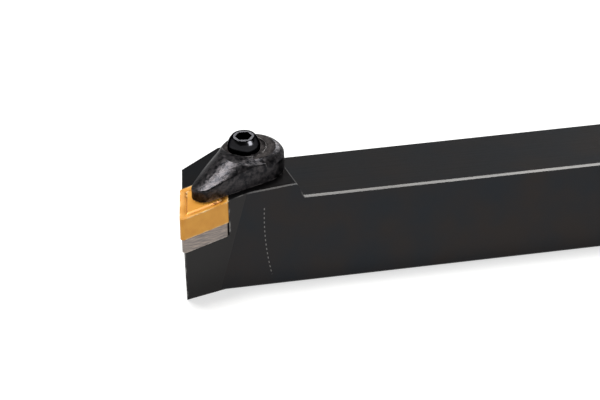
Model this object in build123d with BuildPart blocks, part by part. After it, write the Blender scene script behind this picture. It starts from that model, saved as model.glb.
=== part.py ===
"""Right-hand external turning tool holder: square shank, 55 degree insert, finger clamp."""
import os
from math import asin, cos, degrees, hypot, radians, sin, tan

from build123d import *

# ---- Driving dimensions (mm) -------------------------------------------------------

# Shank: the origin is on its bottom face, at mid length, with +X towards the rear end.
overall_length = 150.0
shank_width = 25.0
shank_height = 25.0
shank_edge_chamfer = 0.5

# Tool point: where the two cutting edges would meet if the nose were sharp.
tool_point_reach = 32.0  # from the far side of the shank
tool_point_height = 25.0
bisector_turn = 45.0  # the nose's bisector, turned from the shank's length
seat_tilt = 7.5  # the insert's top rises this much along the bisector

# Insert: a 55 degree rhombus that can be turned over.
insert_circle = 12.7
insert_angle = 55.0
insert_thickness = 6.35
insert_corner_radius = 0.8
insert_hole_diameter = 5.16
insert_hole_chamfer = 0.4
edge_land = 0.15
groove_foot_inset = 1.4
groove_floor_width = 0.35
plateau_inset = 2.1
groove_depth = 0.35
bump_radius = 0.55
bump_inset = 2.2
bump_from_nose = 8.2

# Shim under the insert.
shim_thickness = 4.3
shim_inset = 0.35
shim_edge_chamfer = 0.25

# Countersunk screw that holds the shim.
shim_screw_diameter = 4.0
shim_screw_head_diameter = 6.6
shim_screw_length = 12.0
shim_screw_socket_width = 2.5
shim_screw_socket_depth = 1.6
shim_screw_sink = 0.3  # its head lies this far under the shim's top

# Head of the holder.
step_foot = -38.5  # X of the step's foot on the shank
step_angle = 62.5
near_flank_relief = 4.0
front_flank_relief = 4.5
flank_inset = 0.65  # the flanks stand this far behind the cutting edges
far_corner_across = 5.5  # Y where the front flank meets the far chamfer
far_corner_turn = 31.0
head_edge_chamfer = 0.3
pocket_gap = 0.03
pocket_corner_radius = 1.3
pocket_corner_along = 25.9

# Clamp: a round hub with a crowned finger. Places are along and across the bisector.
hub_behind_screw = 0.65
hub_beside_screw = -1.8
hub_radius = 8.7
hub_height = 6.35
hub_flat_radius = 6.5  # where its flat top ends and its shoulder begins
hub_shoulder_width = 2.5
hub_shoulder_fall = 3.35
hub_rounding = 3.4
finger_tip_radius = 3.2
tip_height = 4.15  # the ridge's height over the tip circle's centre, where it rises at ridge_rise
ridge_rise = 17.5
ridge_hollow_radius = 90.0
ridge_shift = -0.6  # the ridge is this far off the finger's middle
crown_radius = 8.5
brow_place = 12.0  # from the tip circle's centre to where the second crown has brow_height
brow_height = 7.1
brow_fall = 5.0
brow_shift = 1.0
brow_radius = 30.0
finger_end = 15.9  # from the finger's tip circle to where its walls join the hub's
crown_edge_fillet = 0.6

# Clamp screw: M6, with a domed socket head.
screw_behind_insert = 3.8  # from the insert's far corner, taken as sharp
screw_across = -3.0
screw_diameter = 6.0
screw_length = 20.0
screw_end_chamfer = 0.8
spot_face_height = 6.0
spot_face_radius = 5.8
dome_radius = 4.4
dome_rise = 0.55  # the dome's centre above the spot face
dome_height = 3.55  # the flat top above the spot face
socket_width = 4.0
socket_depth = 2.6
swivel_clearance = 0.06
thread_clearance = 0.05
thread_spare = 2.5  # the hole goes this much deeper than the screw

# Spring and stop ring on the screw, under the clamp.
spring_wire = 0.6
spring_inner_diameter = 6.9
spring_turns = 4
spring_pocket_clearance = 0.15  # round the stop ring
spring_pocket_depth = 4.6
clamp_recess_depth = 1.5
ring_thickness = 0.7
ring_overhang = 0.15  # the ring reaches this far beyond the spring
ring_opening_width = 3.4
ring_groove_depth = 0.5
ring_clearance = 0.05

# ---- Frames ------------------------------------------------------------------------

half_length = overall_length / 2
half_width = shank_width / 2
tool_point = Vector(-half_length, half_width - tool_point_reach, tool_point_height)


def tilted(direction):
    """Turns a direction given beside the bisector into the seat's tilted frame."""
    return direction.rotate(Axis.Y, -seat_tilt).rotate(Axis.Z, bisector_turn)


seat = Plane(
    origin=tool_point,
    x_dir=tilted(Vector(1, 0, 0)),
    z_dir=tilted(Vector(0, 0, 1)),
)


def seat_at(rise, along=0.0, across=0.0):
    """The plane of the insert's top, moved up by rise and shifted in itself."""
    centre = seat.from_local_coords(Vector(along, across, rise))
    return Plane(origin=centre, x_dir=seat.x_dir, z_dir=seat.z_dir)


def under_seat_at(rise, along=0.0, across=0.0):
    """The same plane, facing down."""
    above = seat_at(rise, along, across)
    return Plane(origin=above.origin, x_dir=above.x_dir, z_dir=-above.z_dir)


half_angle = insert_angle / 2
insert_side = insert_circle / sin(radians(insert_angle))
hole_along = insert_side * cos(radians(half_angle))
screw_along = 2 * hole_along + screw_behind_insert
hub_along = screw_along + hub_behind_screw
hub_across = screw_across + hub_beside_screw
ring_radius = spring_inner_diameter / 2 + spring_wire + ring_overhang
spring_pocket_radius = ring_radius + spring_pocket_clearance
shim_top = -insert_thickness
shim_bottom = shim_top - shim_thickness


def draw_rhombus(inset=0.0, corner_radius=insert_corner_radius):
    """Draws the insert's outline about its hole, in the sketch that is open."""
    half_long = hole_along - inset / sin(radians(half_angle))
    half_short = half_long * tan(radians(half_angle))
    corners = [(-half_long, 0), (0, -half_short), (half_long, 0), (0, half_short)]
    Polygon(*corners, align=None)
    if corner_radius > 0:
        fillet(BuildSketch._get_context().vertices(), corner_radius)


# ---- Insert ------------------------------------------------------------------------

with BuildPart() as chip_groove:
    with BuildSketch(Plane.XY):
        draw_rhombus(edge_land, insert_corner_radius - edge_land)
    with BuildSketch(Plane.XY.offset(-groove_depth)):
        draw_rhombus(groove_foot_inset, insert_corner_radius / 4)
    loft(ruled=True)
    with BuildSketch(Plane.XY.offset(-groove_depth)):
        draw_rhombus(groove_foot_inset + groove_floor_width, insert_corner_radius / 4)
    with BuildSketch(Plane.XY):
        draw_rhombus(plateau_inset, insert_corner_radius / 2)
    loft(ruled=True, mode=Mode.SUBTRACT)
    bump_across = insert_circle / 2 - bump_inset
    corner_bump = bump_across / cos(radians(half_angle))
    with PolarLocations(0, 2, start_angle=90):
        with Locations((corner_bump, 0)):
            Sphere(bump_radius, mode=Mode.SUBTRACT)
    for side in (-1, 1):
        for end in (-1, 1):
            turn = side * (90 + end * half_angle)
            beside = end * side * (insert_side / 2 - bump_from_nose)
            bump = Location((0, 0, 0), (0, 0, turn)) * Location((bump_across, beside, 0))
            with Locations(bump):
                Sphere(bump_radius, mode=Mode.SUBTRACT)

with BuildPart() as insert:
    with BuildSketch(seat_at(0, hole_along)):
        draw_rhombus()
    extrude(amount=-insert_thickness)
    for face_plane in (seat_at(0, hole_along), under_seat_at(-insert_thickness, hole_along)):
        add(face_plane * chip_groove.part, mode=Mode.SUBTRACT)
    with BuildSketch(seat_at(0, hole_along)):
        Circle(insert_hole_diameter / 2)
    extrude(amount=-insert_thickness, mode=Mode.SUBTRACT)
    chamfer(
        insert.edges().filter_by(GeomType.CIRCLE).filter_by(
            lambda edge: abs(edge.radius - insert_hole_diameter / 2) < 0.01
        ),
        insert_hole_chamfer,
    )

# ---- Shim and its screw ------------------------------------------------------------

shim_screw_top = shim_top - shim_screw_sink
shim_screw_cone = (shim_screw_head_diameter - shim_screw_diameter) / 2

with BuildPart() as shim_screw:
    with BuildSketch(seat_at(shim_screw_top, hole_along)):
        Circle(shim_screw_head_diameter / 2)
    with BuildSketch(seat_at(shim_screw_top - shim_screw_cone, hole_along)):
        Circle(shim_screw_diameter / 2)
    loft()
    with BuildSketch(seat_at(shim_screw_top, hole_along)):
        Circle(shim_screw_diameter / 2)
    extrude(amount=-shim_screw_length)
    with BuildSketch(seat_at(shim_screw_top, hole_along)):
        RegularPolygon(shim_screw_socket_width / 2, 6, major_radius=False)
    extrude(amount=-shim_screw_socket_depth, mode=Mode.SUBTRACT)


def sink_shim_screw(top, deeper=0.0):
    """Cuts the shim screw's hole, with its cone where it meets the open top."""
    clear = shim_screw_diameter / 2 + thread_clearance
    cone_top = shim_screw_head_diameter / 2 + thread_clearance
    with BuildSketch(seat_at(shim_screw_top, hole_along)) as hole:
        Circle(clear)
    extrude(hole.sketch, amount=-(shim_screw_length + deeper), mode=Mode.SUBTRACT)
    if top > shim_screw_top:
        with BuildSketch(seat_at(shim_screw_top, hole_along)) as wide:
            Circle(cone_top)
        with BuildSketch(seat_at(shim_screw_top - shim_screw_cone, hole_along)) as narrow:
            Circle(clear)
        loft([wide.sketch, narrow.sketch], mode=Mode.SUBTRACT)
        extrude(wide.sketch, amount=top - shim_screw_top, mode=Mode.SUBTRACT)


with BuildPart() as shim:
    with BuildSketch(seat_at(shim_top, hole_along)):
        draw_rhombus(shim_inset)
    extrude(amount=-shim_thickness)
    chamfer(shim.faces().sort_by(Axis(seat.origin, seat.z_dir))[-1].edges(), shim_edge_chamfer)
    sink_shim_screw(shim_top)

# ---- Holder body -------------------------------------------------------------------


def flank_plane(edge_turn, outward, relief):
    """A flank behind a cutting edge, leaning in towards the bottom."""
    edge = Vector(1, 0, 0).rotate(Axis.Z, edge_turn)
    out = edge.rotate(Axis.Z, outward * 90)
    lean = out * cos(radians(relief)) - Vector(0, 0, sin(radians(relief)))
    return Plane(origin=tool_point - out * flank_inset, x_dir=edge, z_dir=lean)


near_flank = flank_plane(bisector_turn - half_angle, -1, near_flank_relief)
front_flank = flank_plane(bisector_turn + half_angle, 1, front_flank_relief)
far_corner = Vector(
    front_flank.origin.X
    + (far_corner_across - front_flank.origin.Y) * tan(radians(90 - bisector_turn - half_angle)),
    far_corner_across,
    tool_point_height,
)
far_facet = Plane(
    origin=far_corner,
    x_dir=Vector(1, 0, 0).rotate(Axis.Z, far_corner_turn),
    z_dir=Vector(0, 1, 0).rotate(Axis.Z, far_corner_turn),
)
head_blank_height = 10.0
nose_blank_length = (tool_point_reach - shank_width) / tan(radians(bisector_turn - half_angle))
step_run = head_blank_height / tan(radians(step_angle))

with BuildPart() as holder_body:
    with BuildSketch(Plane.XZ):
        Polygon(
            (-half_length, 0),
            (half_length, 0),
            (half_length, shank_height),
            (step_foot, shank_height),
            (step_foot - step_run, shank_height + head_blank_height),
            (-half_length, shank_height + head_blank_height),
            align=None,
        )
    extrude(amount=half_width, both=True)
    with BuildPart(Plane.XY, mode=Mode.ADD) as nose_blank:
        with Locations((-half_length, 0)):
            Box(
                nose_blank_length, tool_point_reach - half_width,
                shank_height + head_blank_height,
                align=(Align.MIN, Align.MAX, Align.MIN),
            )
        split(bisect_by=near_flank, keep=Keep.BOTTOM)
    split(bisect_by=front_flank, keep=Keep.BOTTOM)
    split(bisect_by=far_facet, keep=Keep.BOTTOM)
    split(bisect_by=seat_at(0), keep=Keep.BOTTOM)
    head_top = holder_body.faces().filter_by(seat).sort_by(SortBy.AREA)[-1]
    chamfer(head_top.edges().sort_by(Axis.X)[-4:], head_edge_chamfer)

    # Pocket for the insert and the shim, with a cleared corner.
    back_corner = 2 * hole_along + pocket_gap / sin(radians(half_angle))
    pocket_mouth = back_corner - 1.3 * hole_along
    mouth_across = (back_corner - pocket_mouth) * tan(radians(half_angle))
    corner_across = (back_corner - pocket_corner_along) * tan(radians(half_angle))
    with BuildSketch(seat_at(shim_bottom)):
        Polygon(
            (pocket_corner_along, -corner_across),
            (pocket_corner_along, corner_across),
            (pocket_mouth, mouth_across),
            (-hole_along, mouth_across),
            (-hole_along, -mouth_across),
            (pocket_mouth, -mouth_across),
            align=None,
        )
        with Locations((pocket_corner_along, 0)):
            Circle(pocket_corner_radius)
    extrude(amount=-shim_bottom + head_blank_height, mode=Mode.SUBTRACT)
    sink_shim_screw(shim_bottom, thread_spare)

    # Counterbore for the spring, and the screw's hole.
    with BuildSketch(seat_at(0, screw_along, screw_across)):
        Circle(spring_pocket_radius)
    extrude(amount=-spring_pocket_depth, mode=Mode.SUBTRACT)
    screw_tip = spot_face_height - screw_length
    with BuildSketch(seat_at(0, screw_along, screw_across)):
        Circle(screw_diameter / 2 + thread_clearance)
    extrude(amount=screw_tip - thread_spare, mode=Mode.SUBTRACT)

    # Edges: the shank's long ones, and the rear end's.
    rear_face = holder_body.faces().sort_by(Axis.X)[-1]
    long_edges = holder_body.edges().filter_by(Axis.X).filter_by(
        lambda edge: edge.length > 0.5 * overall_length
    )
    chamfer(long_edges + rear_face.edges(), shank_edge_chamfer)

# ---- Clamp -------------------------------------------------------------------------

finger_run = hypot(hub_along - hole_along, hub_across)
finger_turn = degrees(asin(hub_across / finger_run))
tip_frame = Plane(
    origin=seat_at(0, hole_along).origin,
    x_dir=tilted(Vector(1, 0, 0).rotate(Axis.Z, finger_turn)),
    z_dir=seat.z_dir,
)
hub_foot = seat_at(0, hub_along, hub_across)
ridge_frame = tip_frame * Location((0, ridge_shift, 0))




with BuildPart() as clamp:
    # Finger: its crown is the inside of a ring, so that its ridge is hollow along its length.
    # Near the hub the ridge turns down again, under a second, straight crown.
    with BuildSketch(tip_frame):
        Circle(finger_tip_radius)
        with Locations((finger_run, 0)):
            Circle(hub_radius)
        make_hull()
        with Locations((finger_end, 0)):
            Rectangle(
                2 * finger_run, 4 * hub_radius,
                align=(Align.MAX, Align.CENTER), mode=Mode.INTERSECT,
            )
    extrude(amount=2 * hub_height)
    ring_centre = ridge_frame * Location((
        -ridge_hollow_radius * sin(radians(ridge_rise)),
        0,
        tip_height + ridge_hollow_radius * cos(radians(ridge_rise)),
    ))
    with Locations(ring_centre):
        Torus(
            ridge_hollow_radius + crown_radius,
            crown_radius,
            rotation=(90, 0, 0),
            mode=Mode.INTERSECT,
        )
    brow = tip_frame * Location((brow_place, brow_shift, brow_height), (0, brow_fall, 0))
    with Locations(brow * Location((0, 0, -brow_radius))):
        Cylinder(brow_radius, 8 * hub_radius, rotation=(0, 90, 0), mode=Mode.INTERSECT)
    crown_edges = clamp.edges().filter_by(
        lambda edge: tip_frame.to_local_coords(edge @ 0.5).Z > tip_height / 2
        and tip_frame.to_local_coords(edge @ 0.5).X < finger_end - crown_edge_fillet
    )
    fillet(crown_edges, crown_edge_fillet)

    # Hub: a flat top with a rounded shoulder, trimmed to its round wall.
    with BuildPart(mode=Mode.PRIVATE) as hub:
        with BuildSketch(hub_foot):
            Circle(hub_radius)
        extrude(amount=hub_height)
        with BuildSketch(Plane(
            origin=hub_foot.origin, x_dir=hub_foot.x_dir, z_dir=-hub_foot.y_dir
        )):
            shoulder_top = (hub_flat_radius, hub_height)
            shoulder_foot = (
                hub_flat_radius + hub_shoulder_width, hub_height - hub_shoulder_fall
            )
            with BuildLine():
                Polyline(
                    shoulder_top,
                    (0, hub_height),
                    (0, 0),
                    (hub_flat_radius + hub_shoulder_width, 0),
                    shoulder_foot,
                )
                RadiusArc(shoulder_foot, shoulder_top, -hub_rounding)
            make_face()
        revolve(axis=Axis(hub_foot.origin, hub_foot.z_dir), mode=Mode.INTERSECT)
    add(hub.part)

    # Spot face, the screw's hole and the recess for the stop ring and the spring.
    with BuildSketch(seat_at(spot_face_height, screw_along, screw_across)):
        Circle(spot_face_radius)
    extrude(amount=hub_height, mode=Mode.SUBTRACT)
    with BuildSketch(seat_at(0, screw_along, screw_across)):
        Circle(screw_diameter / 2 + swivel_clearance)
    extrude(amount=hub_height, mode=Mode.SUBTRACT)
    with BuildSketch(seat_at(0, screw_along, screw_across)):
        Circle(spring_pocket_radius)
    extrude(amount=clamp_recess_depth, mode=Mode.SUBTRACT)

# ---- Clamp screw -------------------------------------------------------------------

with BuildPart() as clamp_screw:
    with Locations(seat_at(spot_face_height + dome_rise, screw_along, screw_across)):
        Sphere(dome_radius)
    split(bisect_by=seat_at(spot_face_height, screw_along, screw_across), keep=Keep.TOP)
    split(bisect_by=seat_at(spot_face_height + dome_height, screw_along, screw_across), keep=Keep.BOTTOM)
    with BuildSketch(seat_at(spot_face_height, screw_along, screw_across)):
        Circle(screw_diameter / 2)
    extrude(amount=-screw_length)
    screw_end = clamp_screw.faces().sort_by(Axis(seat.origin, seat.z_dir))[0]
    chamfer(screw_end.edges(), screw_end_chamfer)
    with BuildSketch(seat_at(spot_face_height + dome_height, screw_along, screw_across)):
        RegularPolygon(socket_width / 2, 6, major_radius=False)
    extrude(amount=-socket_depth, mode=Mode.SUBTRACT)
    ring_top = clamp_recess_depth - ring_clearance
    with BuildSketch(seat_at(clamp_recess_depth, screw_along, screw_across)):
        Circle(screw_diameter / 2)
        Circle(screw_diameter / 2 - ring_groove_depth, mode=Mode.SUBTRACT)
    extrude(amount=-(ring_thickness + 2 * ring_clearance), mode=Mode.SUBTRACT)

# ---- Stop ring and spring ----------------------------------------------------------

with BuildPart() as stop_ring:
    with BuildSketch(seat_at(ring_top, screw_along, screw_across)):
        Circle(ring_radius)
        Circle(screw_diameter / 2 - ring_groove_depth + ring_clearance, mode=Mode.SUBTRACT)
        Rectangle(
            2 * ring_radius, ring_opening_width,
            align=(Align.MIN, Align.CENTER), mode=Mode.SUBTRACT,
        )
    extrude(amount=-ring_thickness)

spring_foot = -spring_pocket_depth + spring_wire / 2
spring_head = ring_top - ring_thickness - spring_wire / 2
spring_radius = (spring_inner_diameter + spring_wire) / 2

with BuildPart() as coil:
    with BuildLine():
        wire_path = Helix(
            pitch=(spring_head - spring_foot) / spring_turns,
            height=spring_head - spring_foot,
            radius=spring_radius,
        )
    with BuildSketch(Plane(origin=wire_path @ 0, z_dir=wire_path % 0)):
        Circle(spring_wire / 2)
    sweep()

with BuildPart() as clamp_spring:
    add(seat_at(spring_foot, screw_along, screw_across) * coil.part)

# ---- Files -------------------------------------------------------------------------

pieces = {
    "holder_body": holder_body,
    "shim": shim,
    "shim_screw": shim_screw,
    "insert": insert,
    "clamp": clamp,
    "clamp_screw": clamp_screw,
    "stop_ring": stop_ring,
    "clamp_spring": clamp_spring,
}
os.makedirs("parts", exist_ok=True)
for name, piece in pieces.items():
    piece.part.label = name
    export_step(piece.part, f"parts/{name}.step")
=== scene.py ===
# %% [markdown]
# # A turning tool holder
# A lathe's tool holder is a bar of blackened steel with a hard cutting plate, the insert, clamped in a
# pocket at its nose. All its pieces are exact solids already, so this lesson is about light, the camera and
# metal finishes.

from math import cos, pi, radians, sin

import bmesh
import bpy
from mathutils import Matrix, Vector

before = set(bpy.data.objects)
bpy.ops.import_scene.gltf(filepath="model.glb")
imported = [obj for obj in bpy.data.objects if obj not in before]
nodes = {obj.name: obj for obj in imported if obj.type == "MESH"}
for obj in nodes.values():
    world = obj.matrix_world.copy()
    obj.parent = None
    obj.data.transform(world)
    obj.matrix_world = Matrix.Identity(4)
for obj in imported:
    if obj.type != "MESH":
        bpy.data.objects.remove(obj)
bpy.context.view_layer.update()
print("solids:", ", ".join(sorted(nodes)))

# %% [markdown]
# ## The camera
# A long lens from far away keeps the bar's edges nearly parallel. Three angles place the camera: how far
# round the bar it stands, how high, and how it is rolled. Its own right, up and ahead directions then give
# its matrix at once, which is plainer than a chain of Euler angles.

# %% Place the camera
MM = 0.001
looked_at = Vector((-38.506, 0, 12.5)) * MM
camera_turn = radians(19.309)
camera_height = radians(24.770)
camera_roll = radians(2.110)
camera_distance = 1302.3 * MM
slid_right = -3.331 * MM
slid_up = -5.156 * MM

level_right = Vector((cos(camera_turn), -sin(camera_turn), 0))
level_ahead = Vector((sin(camera_turn), cos(camera_turn), 0))
ahead = level_ahead * cos(camera_height) - Vector((0, 0, sin(camera_height)))
steep_up = level_ahead * sin(camera_height) + Vector((0, 0, cos(camera_height)))
right = level_right * cos(camera_roll) + steep_up * sin(camera_roll)
up = steep_up * cos(camera_roll) - level_right * sin(camera_roll)

camera = bpy.data.objects.new("camera", bpy.data.cameras.new("camera"))
bpy.context.collection.objects.link(camera)
camera.matrix_world = Matrix((right, up, -ahead)).transposed().to_4x4()
camera.location = looked_at - right * slid_right - up * slid_up - ahead * camera_distance
camera.data.sensor_width = 36
camera.data.lens = 292.9
camera.data.clip_start = 0.01
bpy.context.scene.camera = camera
print("camera at", [round(v / MM) for v in camera.location], "mm")

# %% [markdown]
# ## Helpers for materials
# Colours are written as the hex codes that a paint program shows. Blender mixes light in linear numbers, so
# one function turns a code into them. A second one adds any node with its settings and links, and that is
# all that a node tree needs.

# %% Colour and node helpers
def colour(code):
    """The linear RGBA of an sRGB hex code such as #2a2b2d."""
    parts = [int(code[i : i + 2], 16) / 255 for i in (1, 3, 5)]
    return [p / 12.92 if p <= 0.04045 else ((p + 0.055) / 1.055) ** 2.4 for p in parts] + [1]


def add(tree, kind, inputs=None, **settings):
    """Adds a node. Its inputs are values, sockets to link from, or nodes, which means their first output."""
    node = tree.nodes.new("ShaderNode" + kind)
    for name, value in settings.items():
        setattr(node, name, value)
    for name, value in (inputs or {}).items():
        if isinstance(value, bpy.types.Node):
            value = value.outputs[0]
        if isinstance(value, bpy.types.NodeSocket):
            tree.links.new(value, node.inputs[name])
        else:
            node.inputs[name].default_value = value
    return node


def new_material(name):
    """An empty node material and its tree."""
    material = bpy.data.materials.new(name)
    material.use_nodes = True
    material.node_tree.nodes.clear()
    return material, material.node_tree


print("#808080 is", round(colour("#808080")[0], 3), "in linear light")

# %% [markdown]
# ## Floor and surroundings
# The bar lies on a plain pale floor under plain soft light. Light Path tells the shader who is looking: the
# camera and mirror-like reflections see clean white, while matt surfaces are lit by a calmer grey. So the
# background is white and no extra light falls on the steel. The floor is partly a matt surface, so it keeps
# a soft shadow. It ends where the lamps still make it white, so that it runs into the white round it without
# a line.

# %% Floor
bpy.context.scene.view_settings.view_transform = "Standard"
floor_half_width = 0.65
floor_gap = 0.05 * MM
floor_glow = 0.62


def seen_directly(tree):
    """1 for camera, glossy and transmission rays, 0 for the light that matt surfaces gather."""
    path = add(tree, "LightPath")
    direct = {0: path.outputs["Is Camera Ray"], 1: path.outputs["Is Glossy Ray"]}
    either = add(tree, "Math", direct, operation="MAXIMUM")
    return add(tree, "Math", {0: either, 1: path.outputs["Is Transmission Ray"]}, operation="MAXIMUM")


def flat_square(name, half_width, height):
    """A level square over the origin, part of the studio and not of the object."""
    grid = bmesh.new()
    lifted = Matrix.Translation((0, 0, height))
    bmesh.ops.create_grid(grid, x_segments=1, y_segments=1, size=half_width, matrix=lifted)
    mesh = bpy.data.meshes.new(name)
    grid.to_mesh(mesh)
    grid.free()
    square = bpy.data.objects.new(name, mesh)
    bpy.context.collection.objects.link(square)
    print(name, round(2 * max(corner.co.x for corner in mesh.vertices), 3), "m wide")
    return square


floor = flat_square("floor", floor_half_width, -floor_gap)
paper, tree = new_material("matt white paper sweep")
matt = add(tree, "BsdfDiffuse", {"Color": colour("#c6c6c4")})
lift = add(tree, "Math", {0: seen_directly(tree), 1: floor_glow}, operation="MULTIPLY")
glow = add(tree, "Emission", {"Color": colour("#ffffff"), "Strength": lift})
both = add(tree, "AddShader", {0: matt, 1: glow})
add(tree, "OutputMaterial", {"Surface": both})
floor.data.materials.append(paper)

# %% [markdown]
# The room round the bar is a world background: a weak, slightly cool grey for the light that falls on the
# steel, and white for whoever looks straight at it. That is plainer than building walls, and it lights every
# side alike.

# %% Surroundings
room_light = 0.32
world = bpy.data.worlds.new("pale studio")
bpy.context.scene.world = world
world.use_nodes = True
tree = world.node_tree
tree.nodes.clear()
room = add(tree, "Background", {"Color": colour("#f4f6fa"), "Strength": room_light})
white = add(tree, "Background", {"Color": colour("#ffffff"), "Strength": 1.0})
mixed = add(tree, "MixShader", {0: seen_directly(tree), 1: room, 2: white})
add(tree, "OutputWorld", {"Surface": mixed})
print("room light", room_light)

# %% [markdown]
# ## Lamps and a dark card
# A studio hangs a dark card over black steel, because an all-white room would turn it grey. Only mirror-like
# reflections see this one, so it casts no shadow and never stands in front of the camera. A low light level
# all round would darken the steel too, but it would also dull the gold insert, which scatters light.

# %% Dark card
card_half_width = 3.3
card_height = 1.6
card_glow = 0.12
card = flat_square("dark card", card_half_width, card_height)
card_paint, tree = new_material("matt grey card")
glow = add(tree, "Emission", {"Color": colour("#ffffff"), "Strength": card_glow})
add(tree, "OutputMaterial", {"Surface": glow})
card.data.materials.append(card_paint)
card.visible_camera = False
card.visible_diffuse = False
card.visible_shadow = False
card.visible_transmission = False
print("card hangs", card_height, "m up")

# %% [markdown]
# Dark metal shows its shape through what it mirrors, so each lamp stands where one form catches it: the ridge
# of the clamp's finger, the back of its hub, and the dome of the screw. Each is given by the direction it
# shines from and its face's brightness. In a studio a flag, which is a small black screen, stops a lamp from
# reaching the wrong piece. Light linking does that here: three of the lamps reach only some pieces, and only
# as reflections, so the light that matt surfaces gather stays plain.

# %% Lamps
lamp_distance = 1.2


def softbox(name, turn, height, width, face):
    """A square lamp, round the head by turn and up by height in degrees. face is its face's brightness."""
    level = Vector((cos(radians(turn)), sin(radians(turn)), 0))
    away = level * cos(radians(height)) + Vector((0, 0, sin(radians(height))))
    lamp = bpy.data.lights.new(name, "AREA")
    lamp.shape = "SQUARE"
    lamp.size = width
    lamp.energy = face * pi * width * width
    box = bpy.data.objects.new(name, lamp)
    bpy.context.collection.objects.link(box)
    box.location = looked_at + away * lamp_distance
    box.rotation_euler = away.to_track_quat("Z", "Y").to_euler()
    print(name, "at", [round(v, 2) for v in box.location], "m,", round(lamp.energy, 2), "W")
    return box


def only_shines_on(lamp, pieces):
    """Keeps a lamp to some pieces and to mirror-like reflections, as a black flag beside it would."""
    flagged = bpy.data.collections.new(lamp.name + " receivers")
    for name in pieces:
        flagged.objects.link(nodes[name])
    lamp.light_linking.receiver_collection = flagged
    lamp.visible_diffuse = False


softbox("lamp over the finger", turn=124, height=76, width=0.46, face=21)
softbox("lamp behind the hub", turn=47, height=31, width=0.32, face=7)
over_finger = softbox("strip over the finger", turn=132, height=78, width=0.36, face=15)
behind_hub = softbox("strip behind the hub", turn=50, height=30, width=0.34, face=18)
before_dome = softbox("lamp before the dome", turn=-54, height=33, width=0.52, face=32)
only_shines_on(over_finger, ["clamp"])
only_shines_on(behind_hub, ["clamp"])
only_shines_on(before_dome, ["clamp_screw", "insert", "holder_body", "shim"])

# %% [markdown]
# ## Blackened steel of the holder
# The bar and its head are milled and ground alloy steel, then blackened in a hot salt bath. The oxide is only
# a micron thick, so the grinding shows through as faint streaks along the bar, and where hands and clamps rub
# an edge the bare steel comes back. A dark metallic colour gives that depth better than black paint would.
#
# The edges are painted lighter, partly as that wear and partly as painted highlights, which a rounded edge
# would catch. Such edges could be painted by hand. Here Ambient Occlusion looks inwards and finds them by
# itself, because near a sharp outer edge its rays soon meet the next face.

# %% Edge wear and painted edge highlights
def edge_wear_and_highlight(tree, reach, patch_size, position):
    """How much wear and painted highlight a point gets: 0 on open faces to 1 on sharp outer edges, broken up
    by a noise. Lengths are in metres.
    """
    inside = add(tree, "AmbientOcclusion", {"Distance": reach}, inside=True, only_local=True, samples=8)
    edge = add(tree, "MapRange", {"Value": inside.outputs["AO"], "From Min": 0.85, "From Max": 0.45})
    patches = add(tree, "TexNoise", {"Vector": position, "Scale": 1 / patch_size, "Detail": 3})
    kept = add(tree, "MapRange", {"Value": patches, "From Min": 0.42, "From Max": 0.62})
    return add(tree, "Math", {0: edge, 1: kept}, operation="MULTIPLY")


print("edge wear ready")

# %% [markdown]
# The shank's upper chamfers are a bright thin line of bare steel, partly wear and partly a painted highlight:
# only chamfers that face up get it, and those on the head get less. A chamfer is found by its normal, which
# leans between two axes: even its longest part is shorter than 0.76.

# %% Mask for the chamfers' wear and painted highlight
head_end = -39 * MM
longest_part = 0.76
least_rise = 0.3
shank_chamfer = 0.3
head_chamfer = 0.1


def upper_chamfer_wear_and_highlight(tree, direction, position):
    """How much bare steel and painted highlight the faces at 45 degrees that look up get: more on the shank
    than on the head, 0 elsewhere.
    """
    absolute = add(tree, "VectorMath", {0: direction}, operation="ABSOLUTE")
    size = add(tree, "SeparateXYZ", {0: absolute})
    level = add(tree, "Math", {0: size.outputs["X"], 1: size.outputs["Y"]}, operation="MAXIMUM")
    longest = add(tree, "Math", {0: level, 1: size.outputs["Z"]}, operation="MAXIMUM")
    slanted = add(tree, "Math", {0: longest, 1: longest_part}, operation="LESS_THAN")
    facing = add(tree, "SeparateXYZ", {0: direction})
    upwards = add(tree, "Math", {0: facing.outputs["Z"], 1: least_rise}, operation="GREATER_THAN")
    at = add(tree, "SeparateXYZ", {0: position})
    on_shank = add(tree, "Math", {0: at.outputs["X"], 1: head_end}, operation="GREATER_THAN")
    shares = {0: on_shank, 1: shank_chamfer - head_chamfer, 2: head_chamfer}
    share = add(tree, "Math", shares, operation="MULTIPLY_ADD")
    both = add(tree, "Math", {0: slanted, 1: upwards}, operation="MULTIPLY")
    return add(tree, "Math", {0: both, 1: share}, operation="MULTIPLY")


print("chamfers: bare by", shank_chamfer, "on the shank and", head_chamfer, "on the head")

# %% [markdown]
# Where the cutter that milled the nose ran out, its scallops along a shallow curve on the near side catch the
# light as a row of small bright ticks. The shader paints them as highlights in bare steel's colour, since the
# scallops are no shapes in the solid. A parabola follows the curve well and needs only three numbers, and
# evenly spaced stretches of it are brightened.

# %% Mask for the painted tick highlights
tick_pitch = 1.3 * MM
tick_share = 0.45
line_half_width = 0.13 * MM
curve_top = 22.7 * MM
curve_start = -49.4 * MM
curve_bend = 7.2
row_middle = 12.9 * MM
row_half_height = 9.8 * MM
side_face = -12.45 * MM


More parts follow.
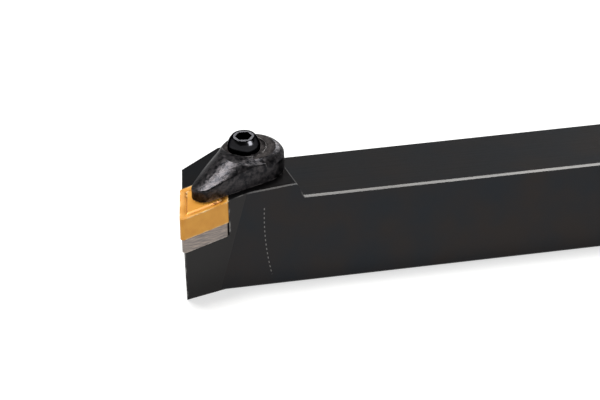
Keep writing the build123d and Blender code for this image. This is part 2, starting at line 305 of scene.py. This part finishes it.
def painted_tick_highlights(tree, position):
    """1 on the row of painted tick highlights, where the milling cutter's scallops catch the light on the
    near side, 0 elsewhere.
    """
    at = add(tree, "SeparateXYZ", {0: position})
    below = add(tree, "Math", {0: curve_top, 1: at.outputs["Z"]}, operation="SUBTRACT")
    square = add(tree, "Math", {0: below, 1: below}, operation="MULTIPLY")
    curve = add(tree, "Math", {0: square, 1: curve_bend, 2: curve_start}, operation="MULTIPLY_ADD")
    on_line = add(tree, "Math", {0: at.outputs["X"], 1: curve, 2: line_half_width}, operation="COMPARE")
    beat = add(tree, "Math", {0: at.outputs["Z"], 1: tick_pitch}, operation="DIVIDE")
    part_of_beat = add(tree, "Math", {0: beat}, operation="FRACT")
    on_tick = add(tree, "Math", {0: part_of_beat, 1: tick_share}, operation="LESS_THAN")
    in_row = {0: at.outputs["Z"], 1: row_middle, 2: row_half_height}
    within = add(tree, "Math", in_row, operation="COMPARE")
    on_side = add(tree, "Math", {0: at.outputs["Y"], 1: side_face}, operation="LESS_THAN")
    dashes = add(tree, "Math", {0: on_line, 1: on_tick}, operation="MULTIPLY")
    place = add(tree, "Math", {0: within, 1: on_side}, operation="MULTIPLY")
    return add(tree, "Math", {0: dashes, 1: place}, operation="MULTIPLY")


print("ticks:", int(2 * row_half_height / tick_pitch), "or so in the row")

# %% [markdown]
# One shader makes the whole holder. Its base is the oxide's blue-black and brown-black, in clouds that the
# salt bath leaves. The real grinding streaks are a tenth of a millimetre apart, too fine to show, so these
# are drawn half a millimetre apart and 20 mm long.

# %% Oxide and grinding streaks
streak_length = 20 * MM
streak_gap = 0.5 * MM
cloud_size = 15 * MM
holder_steel, tree = new_material("black oxide on milled and ground alloy steel")
where = add(tree, "TexCoord")
place = where.outputs["Object"]
stretch = (1 / streak_length, 1 / streak_gap, 1 / streak_gap)
along = add(tree, "Mapping", {"Vector": place, "Scale": stretch})
streaks = add(tree, "TexNoise", {"Vector": along, "Scale": 1.0, "Detail": 2})
clouds = add(tree, "TexNoise", {"Vector": place, "Scale": 1 / cloud_size, "Detail": 3})
tint = add(tree, "ValToRGB", {"Fac": clouds})
for stop, position, code in zip(tint.color_ramp.elements, (0.35, 0.65), ("#232528", "#292625")):
    stop.position = position
    stop.color = colour(code)
print("streaks", round(streak_gap / MM, 2), "mm apart, clouds", round(cloud_size / MM), "mm wide")

# %% [markdown]
# Faces that look a little rearwards, the nose's near flank, a wall of the pocket, the step and the rear end,
# are milled and not ground, and they are painted a touch lighter as painted light for the lamps on that side.
# The masks then bring through the bare steel, partly wear and partly painted highlights, and the streaks
# steer both the roughness and a very shallow bump.

# %% Painted light on rearward faces, bare steel with painted highlights, and the holder's shader
rearward = 0.2
edge_wear_and_highlight_share = 0.38
tick_highlight_strength = 0.25
streak_depth = 0.02 * MM
facing = add(tree, "SeparateXYZ", {0: where.outputs["Normal"]})
# Painted light: faces turned towards +X get a lighter colour.
painted_light_on_rearward_faces = add(tree, "Math", {0: facing.outputs["X"], 1: rearward}, operation="GREATER_THAN")
finish = add(tree, "Mix", {0: painted_light_on_rearward_faces, 6: tint, 7: colour("#2c2b2b")}, data_type="RGBA")
# Painted highlights, partly wear: sharp edges are brought towards bare steel.
edges = edge_wear_and_highlight(tree, reach=0.5 * MM, patch_size=2.0 * MM, position=place)
wear_and_edge_highlight = add(tree, "Math", {0: edges, 1: edge_wear_and_highlight_share}, operation="MULTIPLY")
# Painted highlights: the row of ticks is brought towards bare steel.
tick_highlights = painted_tick_highlights(tree, place)
wear_and_tick_highlights = add(tree, "Math", {0: tick_highlights, 1: tick_highlight_strength, 2: wear_and_edge_highlight}, operation="MULTIPLY_ADD")
# Painted highlight, partly wear: upward-facing chamfers are brought towards bare steel.
chamfer_wear_and_highlight = upper_chamfer_wear_and_highlight(tree, where.outputs["Normal"], place)
bare_steel_and_highlights = add(tree, "Math", {0: wear_and_tick_highlights, 1: chamfer_wear_and_highlight}, operation="MAXIMUM")
skin = add(tree, "Mix", {0: bare_steel_and_highlights, 6: finish.outputs[2], 7: colour("#b3b1ae")}, data_type="RGBA")
spread = {"Value": streaks.outputs["Fac"], "From Min": 0.3, "From Max": 0.7, "To Min": 0.31, "To Max": 0.40}
rough = add(tree, "MapRange", spread)
relief = add(tree, "Bump", {"Height": streaks.outputs["Fac"], "Strength": 0.15, "Distance": streak_depth})
shader = add(tree, "BsdfPrincipled", {"Base Color": skin.outputs[2], "Metallic": 0.9, "Roughness": rough,
                                      "Specular Tint": colour("#cbcbcb"), "Normal": relief})
add(tree, "OutputMaterial", {"Surface": shader})
nodes["holder_body"].material_slots[0].material = holder_steel
print("holder:", len(tree.nodes), "nodes")

# %% [markdown]
# ## The clamp
# The clamp is a small steel forging, tumbled and blackened. Its skin is satin with a fine orange-peel grain,
# which breaks a lamp's reflection on the finger's ridge into soft grey mottling. Sculpting the grain would
# take a very dense mesh, so a noise drives a bump instead. A second noise gives blotches of thinner oxide.

# %% Forged skin
peel_size = 0.8 * MM
blotch_size = 1.3 * MM
clamp_steel, tree = new_material("black oxide on tumbled forged steel")
where = add(tree, "TexCoord")
place = where.outputs["Object"]
peel = add(tree, "TexNoise", {"Vector": place, "Scale": 1 / peel_size, "Detail": 3, "Roughness": 0.6})
blotches = add(tree, "TexNoise", {"Vector": place, "Scale": 1 / blotch_size, "Detail": 4, "Roughness": 0.6})
tint = add(tree, "ValToRGB", {"Fac": blotches})
for stop, position, code in zip(tint.color_ramp.elements, (0.4, 0.7), ("#202022", "#494647")):
    stop.position = position
    stop.color = colour(code)
print("grain", round(peel_size / MM, 2), "mm, blotches", round(blotch_size / MM, 2), "mm")

# %% [markdown]
# The hub's flat top and the spot face sunk in it are turned, so they are lighter, with rings round the screw.
# The shader finds them by their normal, which lies along the screw's axis. A cutter's feed marks are about
# 0.1 mm apart, too fine to show, so these are broad bands, 2.8 mm from crest to crest.

# %% Turned top of the hub
screw_axis = Vector((-0.0923, -0.0923, 0.9914))
screw_foot = Vector((-50.93, 0.32, 29.09)) * MM
ring_gap = 2.827 * MM
along_axis = 0.999
upright = add(tree, "VectorMath", {0: where.outputs["Normal"], 1: screw_axis}, operation="DOT_PRODUCT")
turned = add(tree, "Math", {0: upright.outputs["Value"], 1: along_axis}, operation="GREATER_THAN")
tilt = screw_axis.to_track_quat("Z", "Y").to_euler()
from_screw = {"Vector": place, "Location": screw_foot, "Rotation": tilt}
centred = add(tree, "Mapping", from_screw, vector_type="TEXTURE")
# At a Scale of 1 the wave turns through 20 radians in each metre.
waves = {"Vector": centred, "Scale": 2 * pi / (20 * ring_gap), "Distortion": 0.6, "Detail": 1}
rings = add(tree, "TexWave", waves, wave_type="RINGS", rings_direction="Z")
ringed = add(tree, "Mix", {0: rings.outputs["Fac"], 6: colour("#343131"), 7: colour("#484443")},
             data_type="RGBA")
print("rings", round(ring_gap / MM, 2), "mm apart")

# %% [markdown]
# Edges show bare steel, partly as rubbed wear and partly as painted highlights. They are scratched as well,
# so they scatter more light than the oxide does.

# %% Worn edges with painted highlights, and the clamp's shader
edge_wear_and_highlight_share = 0.6
scratch_roughness = 0.5
peel_depth = 0.12 * MM
finish = add(tree, "Mix", {0: turned, 6: tint, 7: ringed.outputs[2]}, data_type="RGBA")
# Painted highlights, partly wear: sharp edges are brought towards bare steel.
edges = edge_wear_and_highlight(tree, reach=0.5 * MM, patch_size=1.6 * MM, position=place)
wear_and_edge_highlight = add(tree, "Math", {0: edges, 1: edge_wear_and_highlight_share}, operation="MULTIPLY")
skin = add(tree, "Mix", {0: wear_and_edge_highlight, 6: finish.outputs[2], 7: colour("#a5a19f")}, data_type="RGBA")
spread = {"Value": blotches, "From Min": 0.3, "From Max": 0.7, "To Min": 0.26, "To Max": 0.46}
rough = add(tree, "MapRange", spread)
scratched = add(tree, "Math", {0: wear_and_edge_highlight, 1: scratch_roughness, 2: rough}, operation="MULTIPLY_ADD")
relief = add(tree, "Bump", {"Height": peel, "Strength": 0.9, "Distance": peel_depth})
shader = add(tree, "BsdfPrincipled", {"Base Color": skin.outputs[2], "Metallic": 1.0, "Roughness": scratched,
                                      "Specular Tint": colour("#cbcbcb"), "Normal": relief})
add(tree, "OutputMaterial", {"Surface": shader})
nodes["clamp"].material_slots[0].material = clamp_steel
print("clamp:", len(tree.nodes), "nodes")

# %% [markdown]
# ## The screws
# Both screws are hardened and blackened, and the clamp screw's dome is polished before that, so it is the
# glossiest piece. It mirrors the lamps as small sharp highlights on black. The rim of its socket, which is
# what lies high up along the screw's axis and close to it, is painted lighter, partly as the wear of keys and
# partly as a painted highlight. Its sharp edges are painted lighter in the same two ways.

# %% Screw steel
rim_height = 43.03 * MM
rim_reach = 2.75 * MM
rim_roughness = 0.3
haze_size = 1.5 * MM
screw_steel, tree = new_material("polished black oxide on hardened screw steel")
place = add(tree, "TexCoord").outputs["Object"]
haze = add(tree, "TexNoise", {"Vector": place, "Scale": 1 / haze_size, "Detail": 3})
height = add(tree, "VectorMath", {0: place, 1: screw_axis}, operation="DOT_PRODUCT")
high = add(tree, "Math", {0: height.outputs["Value"], 1: rim_height}, operation="GREATER_THAN")
from_foot = add(tree, "VectorMath", {0: place, 1: screw_foot}, operation="SUBTRACT")
across = add(tree, "VectorMath", {0: from_foot, 1: screw_axis}, operation="CROSS_PRODUCT")
reach = add(tree, "VectorMath", {0: across}, operation="LENGTH")
close = add(tree, "Math", {0: reach.outputs["Value"], 1: rim_reach}, operation="LESS_THAN")
rim = add(tree, "Math", {0: high, 1: close}, operation="MULTIPLY")
# Painted highlight, partly wear: the socket's rim and the sharp edges are brought towards bare steel.
edges = edge_wear_and_highlight(tree, reach=0.3 * MM, patch_size=1.0 * MM, position=place)
rubbed_and_highlighted = add(tree, "Math", {0: rim, 1: edges}, operation="MAXIMUM")
skin = add(tree, "Mix", {0: rubbed_and_highlighted, 6: colour("#262628"), 7: colour("#7c7c80")}, data_type="RGBA")
spread = {"Value": haze, "From Min": 0.3, "From Max": 0.7, "To Min": 0.12, "To Max": 0.2}
rough = add(tree, "MapRange", spread)
matter = add(tree, "Math", {0: rim, 1: rim_roughness, 2: rough}, operation="MULTIPLY_ADD")
shader = add(tree, "BsdfPrincipled", {"Base Color": skin.outputs[2], "Metallic": 1.0, "Roughness": matter,
                                      "Specular Tint": colour("#909090")})
add(tree, "OutputMaterial", {"Surface": shader})
for name in ("clamp_screw", "shim_screw"):
    nodes[name].material_slots[0].material = screw_steel
print("screws:", len(tree.nodes), "nodes")

# %% [markdown]
# ## The coated insert
# The insert is tungsten carbide pressed, sintered and coated with titanium nitride, whose gold is that of a
# metal. Its grain is so fine that it scatters light nearly as a matt paint does, so the shader is given a low
# share of metal and the gold as its own colour. Its edges are drawn paler, partly as wear and partly as
# painted highlights. The chip breaker's groove is painted browner as shade, found by how little open space
# lies round a point.

# %% Insert coating
grain_size = 0.35 * MM
grain_depth = 0.02 * MM
hue_size = 4 * MM
groove_shade_reach = 1.4 * MM
insert_coating, tree = new_material("titanium nitride on sintered carbide")
place = add(tree, "TexCoord").outputs["Object"]
grain = add(tree, "TexNoise", {"Vector": place, "Scale": 1 / grain_size, "Detail": 2})
hue = add(tree, "TexNoise", {"Vector": place, "Scale": 1 / hue_size, "Detail": 2})
tint = add(tree, "ValToRGB", {"Fac": hue})
for stop, position, code in zip(tint.color_ramp.elements, (0.35, 0.65), ("#e39c3c", "#efab45")):
    stop.position = position
    stop.color = colour(code)
# Painted shade: the groove's hollow is coloured browner where little open space lies round a point.
open_space = add(tree, "AmbientOcclusion", {"Distance": groove_shade_reach}, only_local=True, samples=16)
painted_groove_shade = add(tree, "MapRange", {"Value": open_space.outputs["AO"], "From Min": 0.99, "From Max": 0.76})
coat_with_groove_shade = add(tree, "Mix", {0: painted_groove_shade, 6: tint, 7: colour("#a5661a")}, data_type="RGBA")
# Painted highlights, partly wear: the edges are drawn paler.
wear_and_edge_highlight = edge_wear_and_highlight(tree, reach=0.55 * MM, patch_size=4.0 * MM, position=place)
skin = add(tree, "Mix", {0: wear_and_edge_highlight, 6: coat_with_groove_shade.outputs[2], 7: colour("#fae3b4")}, data_type="RGBA")
relief = add(tree, "Bump", {"Height": grain.outputs["Fac"], "Strength": 0.25, "Distance": grain_depth})
shader = add(tree, "BsdfPrincipled", {"Base Color": skin.outputs[2], "Metallic": 0.2, "Roughness": 0.38,
                                      "Specular IOR Level": 0.3, "Normal": relief})
add(tree, "OutputMaterial", {"Surface": shader})
nodes["insert"].material_slots[0].material = insert_coating
print("insert:", len(tree.nodes), "nodes")

# %% [markdown]
# ## The shim and the hidden steel
# The shim under the insert is bare ground carbide, a warm light grey with fine grinding lines. Real ones are
# much closer together than these, which are a quarter of a millimetre apart so that they show.

# %% Shim carbide
line_length = 3 * MM
line_gap = 0.25 * MM
shim_carbide, tree = new_material("ground cemented carbide")
place = add(tree, "TexCoord").outputs["Object"]
stretch = (1 / line_length, 1 / line_length, 1 / line_gap)
lay = add(tree, "Mapping", {"Vector": place, "Scale": stretch})
lines = add(tree, "TexNoise", {"Vector": lay, "Scale": 1.0, "Detail": 3})
tint = add(tree, "ValToRGB", {"Fac": lines})
for stop, position, code in zip(tint.color_ramp.elements, (0.35, 0.7), ("#6c6664", "#9d9086")):
    stop.position = position
    stop.color = colour(code)
# Painted highlights, partly wear: the edges are drawn lighter.
wear_and_edge_highlight = edge_wear_and_highlight(tree, reach=0.3 * MM, patch_size=1.0 * MM, position=place)
skin = add(tree, "Mix", {0: wear_and_edge_highlight, 6: tint, 7: colour("#cfc8c0")}, data_type="RGBA")
shader = add(tree, "BsdfPrincipled", {"Base Color": skin.outputs[2], "Metallic": 0.7, "Roughness": 0.4})
add(tree, "OutputMaterial", {"Surface": shader})
nodes["shim"].material_slots[0].material = shim_carbide
print("shim:", len(tree.nodes), "nodes")

# %% [markdown]
# The spring and its stop ring are oiled spring steel. They are hidden under the clamp, so one plain shader
# with a little variation from the wire's drawing is enough.

# %% Spring steel
draw_mark = 0.4 * MM
spring_steel, tree = new_material("oiled spring steel")
place = add(tree, "TexCoord").outputs["Object"]
drawn = add(tree, "TexNoise", {"Vector": place, "Scale": 1 / draw_mark, "Detail": 2})
tint = add(tree, "ValToRGB", {"Fac": drawn})
for stop, code in zip(tint.color_ramp.elements, ("#4d4e52", "#77787c")):
    stop.color = colour(code)
shader = add(tree, "BsdfPrincipled", {"Base Color": tint, "Metallic": 1.0, "Roughness": 0.3})
add(tree, "OutputMaterial", {"Surface": shader})
for name in ("clamp_spring", "stop_ring"):
    nodes[name].material_slots[0].material = spring_steel
print("spring and ring:", len(tree.nodes), "nodes")
